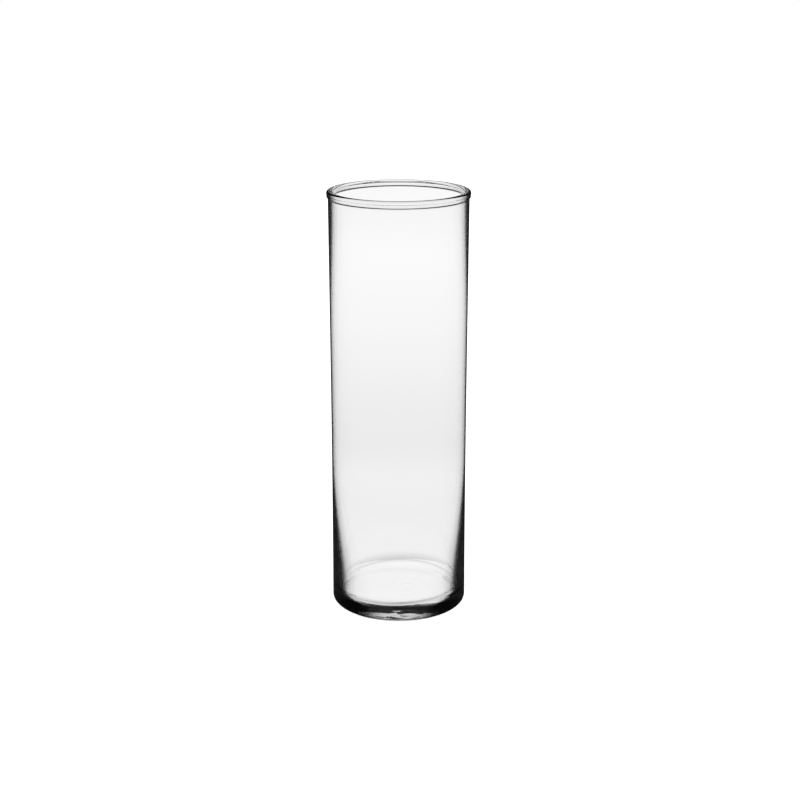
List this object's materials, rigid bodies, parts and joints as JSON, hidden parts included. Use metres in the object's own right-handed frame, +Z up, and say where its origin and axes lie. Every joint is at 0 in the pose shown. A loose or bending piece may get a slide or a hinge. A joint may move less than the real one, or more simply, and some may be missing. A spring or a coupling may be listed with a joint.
{
  "type": "glass cylinder vase",
  "caption": "Tall clear glass cylinder vase with a fire-polished rim and a fine groove under its edge, a straight bore, a thick gently arched floor and a shallow hollow under the foot.",
  "frame": {"origin": "centre of the ring that the vase stands on, at the level of the table", "axes": "+Z up along the axis of the bore; the body is round, so +X and +Y are any two directions across it"},
  "size_m": [0.0882, 0.0882, 0.267],
  "materials": {
    "clear_glass": "clear soda-lime glass, fire-polished and smooth, lightly stippled on the ring it stands on"
  },
  "bodies": {
    "root": {"glass_vase": "clear_glass"}
  },
  "joints": []
}
